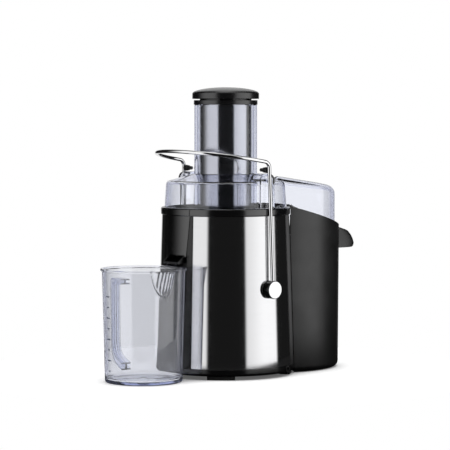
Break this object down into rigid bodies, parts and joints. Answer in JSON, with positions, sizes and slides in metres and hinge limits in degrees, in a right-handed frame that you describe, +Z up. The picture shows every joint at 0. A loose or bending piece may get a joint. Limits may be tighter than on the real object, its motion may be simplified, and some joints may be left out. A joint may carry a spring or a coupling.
{
  "type": "centrifugal juicer",
  "caption": "Upright kitchen juicer with a steel-wrapped motor base, clear lid with a wide feed tube and pusher, locking wire bail, black pulp bin and clear pouring jug.",
  "frame": {"origin": "bottom centre of the whole object, on the surface that it stands on", "axes": "+Z up, +X towards the pulp bin and its handle, -X towards the spout and the jug"},
  "size_m": [0.4214, 0.1964, 0.3803],
  "materials": {
    "black_body": "satin",
    "black_gloss": "gloss",
    "black_bin": "satin",
    "pusher_black": "satin",
    "peg_black": "satin",
    "steel_wrap": "brushed",
    "pusher_steel": "brushed",
    "basket_steel": "satin",
    "plain_steel": "satin",
    "core_steel": "matte",
    "cast_frame": "satin",
    "brass_parts": "satin",
    "copper_wire": "satin",
    "carbon": "matte",
    "circuit_board": "satin",
    "chrome_rod": "polished",
    "foot_rubber": "matte",
    "gland_rubber": "matte",
    "red_plastic": "gloss",
    "white_plastic": "satin",
    "clear_lid": "clear",
    "clear_jug": "clear",
    "clear_handle": "clear"
  },
  "bodies": {
    "base_unit": {"housing_shell": "black_body", "steel_panel_left": "steel_wrap", "steel_panel_right": "steel_wrap", "top_ring": "black_gloss", "base_skirt": "black_gloss", "bottom_cover": "black_body", "rubber_feet": "foot_rubber", "base_screws": "plain_steel", "cord_gland": "gland_rubber", "motor_stator": "core_steel", "field_coils": "copper_wire", "upper_motor_frame": "cast_frame", "lower_motor_frame": "cast_frame", "motor_screws": "plain_steel", "upper_bearing": "plain_steel", "lower_bearing": "plain_steel", "brush_holders": "brass_parts", "carbon_brushes": "carbon", "vibration_dampers": "gland_rubber", "control_board": "circuit_board", "switch_body": "black_body", "switch_bezel": "black_gloss", "microswitch": "black_body", "pivot_bushes": "white_plastic", "shaft_seal": "gland_rubber", "juice_bowl": "black_gloss", "lid": "clear_lid"},
    "rotor": {"motor_shaft": "plain_steel", "armature_core": "core_steel", "armature_windings": "copper_wire", "commutator": "brass_parts", "cooling_fan": "black_body", "drive_coupling": "black_body", "basket_base": "black_body", "grater_disc": "basket_steel", "filter_sieve": "basket_steel", "basket_rim": "black_body"},
    "pusher": {"pusher_cap": "pusher_black", "pusher_sleeve": "pusher_steel", "pusher_core": "pusher_black"},
    "bail": {"bail_rod": "chrome_rod", "bail_pegs": "peg_black", "pivot_knobs": "black_gloss", "knob_caps": "chrome_rod", "pivot_pins": "plain_steel"},
    "bin": {"pulp_bin": "black_bin"},
    "jug": {"jug_body": "clear_jug", "jug_handle": "clear_handle"},
    "dial": {"speed_knob": "black_body"},
    "plunger": {"interlock_plunger": "red_plastic"}
  },
  "joints": [
    {"name": "rotor_spin", "type": "hinge", "parent": "base_unit", "child": "rotor", "pos_m": [-0.0119, 0, 0.19], "axis": [0, 0, 1], "continuous": true},
    {"name": "pusher_slide", "type": "slide", "parent": "base_unit", "child": "pusher", "axis": [0, 0, 1], "range_m": [0, 0.16]},
    {"name": "bail_swing", "type": "hinge", "parent": "base_unit", "child": "bail", "pos_m": [-0.0119, 0, 0.1165], "axis": [0, -1, 0], "range_deg": [0, 50]},
    {"name": "bin_slide", "type": "slide", "parent": "base_unit", "child": "bin", "axis": [1, 0, 0], "range_m": [0, 0.15]},
    {"name": "jug_slide", "type": "slide", "parent": "base_unit", "child": "jug", "axis": [-1, 0, 0], "range_m": [0, 0.15]},
    {"name": "dial_turn", "type": "hinge", "parent": "base_unit", "child": "dial", "pos_m": [-0.0119, 0.0918, 0.055], "axis": [0, 1, 0], "range_deg": [-60, 60]},
    {"name": "plunger_slide", "type": "slide", "parent": "base_unit", "child": "plunger", "axis": [-1, 0, 0], "range_m": [0, 0.0009]}
  ],
  "couplings": [
    {"joint": "plunger_slide", "follows": "bail_swing", "m_per_rad": 0.00101}
  ]
}
